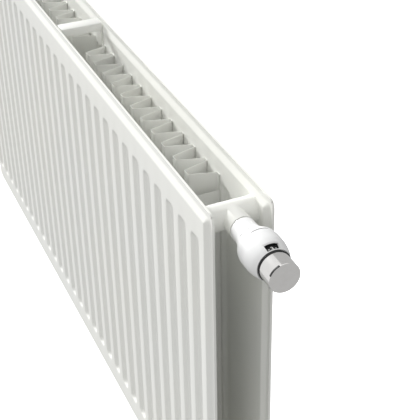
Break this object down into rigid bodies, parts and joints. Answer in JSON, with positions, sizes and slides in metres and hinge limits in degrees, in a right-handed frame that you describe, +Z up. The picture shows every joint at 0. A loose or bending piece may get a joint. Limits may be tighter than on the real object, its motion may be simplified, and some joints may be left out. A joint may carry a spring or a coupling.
{
  "type": "panel radiator with thermostatic valve",
  "caption": "Double-panel steel radiator with vertical pressed channels, one welded convector, corner tees and a thermostatic valve head with a chrome knob at its top end.",
  "frame": {"origin": "centre of the bounding box at its lowest level, which is the bottom edge of the panels", "axes": "+X along the length towards the valve head, +Y from the room side to the wall, +Z up"},
  "size_m": [1.0894, 0.086, 0.5],
  "materials": {
    "white_enamel": "smooth stoved white enamel, satin gloss",
    "white_plastic": "moulded white plastic, satin",
    "black_plastic": "fine matt black moulding",
    "brass": "turned brass",
    "steel": "bright drawn steel",
    "aluminium": "drawn aluminium can",
    "chrome": "satin chrome plate",
    "nickel": "nickel plate",
    "rubber": "black sealing rubber"
  },
  "bodies": {
    "radiator": {"front_panel_face_sheet": "white_enamel", "front_panel_back_sheet": "white_enamel", "rear_panel_inner_sheet": "white_enamel", "rear_panel_back_sheet": "white_enamel", "convector_right": "white_enamel", "convector_left": "white_enamel", "bridge_strap": "white_enamel", "hanging_lugs": "white_enamel", "valve_tee": "white_enamel", "vent_tee": "white_enamel", "drain_tee": "white_enamel", "return_tee": "white_enamel", "flow_block": "white_enamel", "connection_plate": "white_enamel", "flow_stub": "nickel", "return_stub": "nickel", "riser_pipe": "white_enamel", "blank_plug": "nickel", "vent_plug": "nickel", "plug_seals": "rubber", "insert_body": "brass", "insert_seal": "rubber", "gland_nut": "brass", "spindle_seal": "rubber", "return_spring": "steel", "clamp_collar": "white_plastic", "collar_screw": "steel", "head_housing": "white_plastic", "guide_sleeve": "white_plastic"},
    "knob": {"knob": "chrome", "knob_core": "black_plastic", "scale_sleeve": "black_plastic", "trim_ring": "black_plastic"},
    "carrier": {"sensor_carrier": "black_plastic", "sensor": "aluminium", "overtravel_spring": "steel"},
    "spindle": {"valve_pin": "steel", "valve_cone": "brass", "cone_seal": "rubber"},
    "preset": {"preset_ring": "white_plastic"},
    "bleed": {"bleed_screw": "brass"},
    "nozzle": {"vent_nozzle": "white_plastic"}
  },
  "joints": [
    {"name": "knob_turn", "type": "hinge", "parent": "radiator", "child": "knob", "pos_m": [0.5307, -0.0046, 0.474], "axis": [1, 0, 0], "range_deg": [-150, 150]},
    {"name": "carrier_slide", "type": "slide", "parent": "radiator", "child": "carrier", "axis": [1, 0, 0], "range_m": [-0.0013, 0.0013]},
    {"name": "spindle_slide", "type": "slide", "parent": "radiator", "child": "spindle", "axis": [1, 0, 0], "range_m": [-0.0013, 0.0013], "deforming": ["return_spring"]},
    {"name": "preset_turn", "type": "hinge", "parent": "radiator", "child": "preset", "pos_m": [0.4591, -0.0046, 0.474], "axis": [1, 0, 0], "range_deg": [0, 180]},
    {"name": "bleed_turn", "type": "hinge", "parent": "radiator", "child": "bleed", "pos_m": [-0.5393, -0.006, 0.474], "axis": [-1, 0, 0], "range_deg": [0, 360]},
    {"name": "nozzle_turn", "type": "hinge", "parent": "radiator", "child": "nozzle", "pos_m": [-0.5383, -0.006, 0.474], "axis": [-1, 0, 0], "continuous": true}
  ],
  "couplings": [
    {"joint": "carrier_slide", "follows": "knob_turn", "m_per_rad": 0.00045},
    {"joint": "spindle_slide", "follows": "knob_turn", "m_per_rad": 0.00045}
  ]
}
